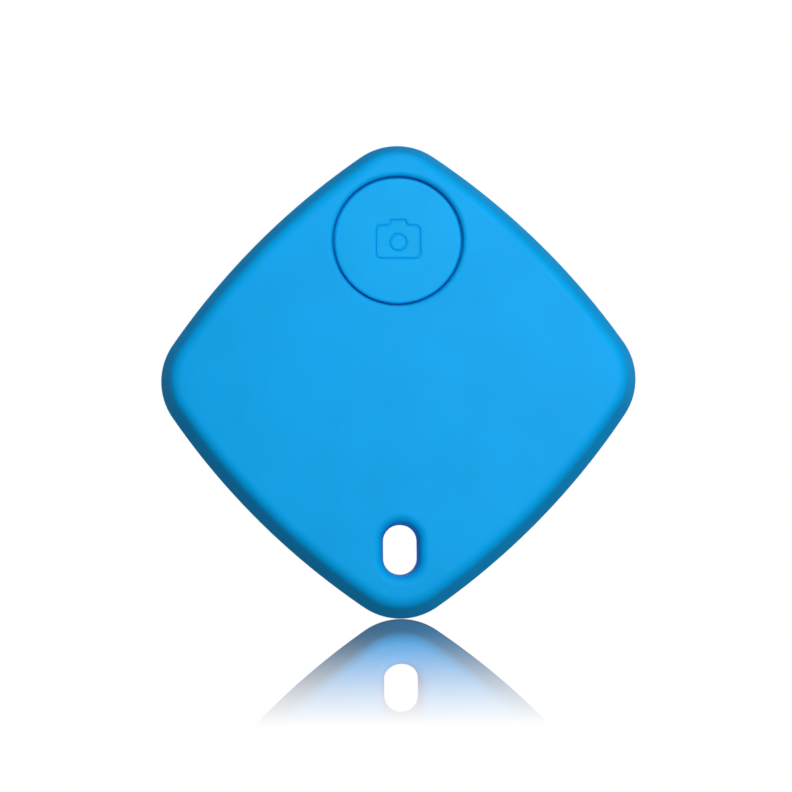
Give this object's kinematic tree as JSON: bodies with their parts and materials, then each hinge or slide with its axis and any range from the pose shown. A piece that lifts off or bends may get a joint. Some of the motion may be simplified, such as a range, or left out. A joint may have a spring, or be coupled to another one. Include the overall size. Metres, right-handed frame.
{
  "type": "bluetooth tracker tag",
  "caption": "Rounded-rhombus tracker tag with a round shutter button, a lanyard slot, and a removable rear cover over its coin cell and circuit board.",
  "frame": {"origin": "middle of the lanyard slot, at half the case's thickness", "axes": "the tag hangs on edge with the slot's corner down as shown: +Z from the slot corner up to the button corner, the face with the button looks along -Y, +Y is the rear cover's side, +X is to the right as the face is seen"},
  "size_m": [0.0504, 0.008, 0.0504],
  "materials": {
    "shell_blue": "matte",
    "button_blue": "matte",
    "black_plastic": "satin",
    "contact_steel": "satin",
    "screw_steel": "satin",
    "cell_steel": "satin",
    "crystal_steel": "satin",
    "piezo_brass": "satin",
    "piezo_ceramic": "satin",
    "white_ceramic": "matte",
    "capacitor_tan": "matte",
    "resistor_black": "satin",
    "ferrite_grey": "matte",
    "chip_epoxy": "matte",
    "solder_mask": "satin",
    "white_tape": "matte",
    "wire_red": "satin",
    "wire_black": "satin",
    "gasket_nylon": "satin",
    "cell_lithium": "matte",
    "separator_paper": "matte",
    "cell_cathode": "matte"
  },
  "bodies": {
    "case": {"front_shell": "shell_blue", "switch_base": "black_plastic", "switch_frame": "contact_steel", "switch_dome": "contact_steel", "piezo_adhesive_ring": "white_tape", "piezo_plate": "piezo_brass", "piezo_ceramic": "piezo_ceramic", "piezo_wire_red": "wire_red", "piezo_wire_black": "wire_black", "circuit_board": "solder_mask", "board_screw_left": "screw_steel", "board_screw_right": "screw_steel", "bluetooth_chip": "chip_epoxy", "main_crystal": "crystal_steel", "clock_crystal": "crystal_steel", "chip_antenna": "white_ceramic", "buzzer_driver": "chip_epoxy", "boost_inductor": "ferrite_grey", "boost_diode": "chip_epoxy", "reserve_capacitor": "capacitor_tan", "antenna_capacitor": "capacitor_tan", "antenna_inductor": "white_ceramic", "radio_capacitor_left": "capacitor_tan", "radio_capacitor_right": "capacitor_tan", "supply_capacitor_left": "capacitor_tan", "supply_capacitor_right": "capacitor_tan", "crystal_capacitor_upper": "capacitor_tan", "crystal_capacitor_lower": "capacitor_tan", "switch_resistor": "resistor_black", "driver_resistor_left": "resistor_black", "driver_resistor_right": "resistor_black", "filter_capacitor": "capacitor_tan", "cell_holder": "black_plastic", "positive_contact": "contact_steel", "negative_contact": "contact_steel", "cell_can": "cell_steel", "cell_cap": "cell_steel", "cell_gasket": "gasket_nylon", "cell_anode": "cell_lithium", "cell_separator": "separator_paper", "cell_cathode": "cell_cathode"},
    "button": {"button_cap": "button_blue"},
    "plunger": {"switch_plunger": "black_plastic"},
    "cover": {"rear_cover": "shell_blue"}
  },
  "joints": [
    {"name": "button_press", "type": "slide", "parent": "case", "child": "button", "axis": [0, 1, 0], "range_m": [0, 0.0003], "stiffness_N_per_m": 5000},
    {"name": "plunger_press", "type": "slide", "parent": "case", "child": "plunger", "axis": [0, 1, 0], "range_m": [0, 0.0003], "deforming": ["switch_dome"]},
    {"name": "rear_cover_lift", "type": "slide", "parent": "case", "child": "cover", "axis": [0, 1, 0], "range_m": [0, 0.02]}
  ],
  "couplings": [
    {"joint": "plunger_press", "follows": "button_press", "ratio": 1}
  ]
}
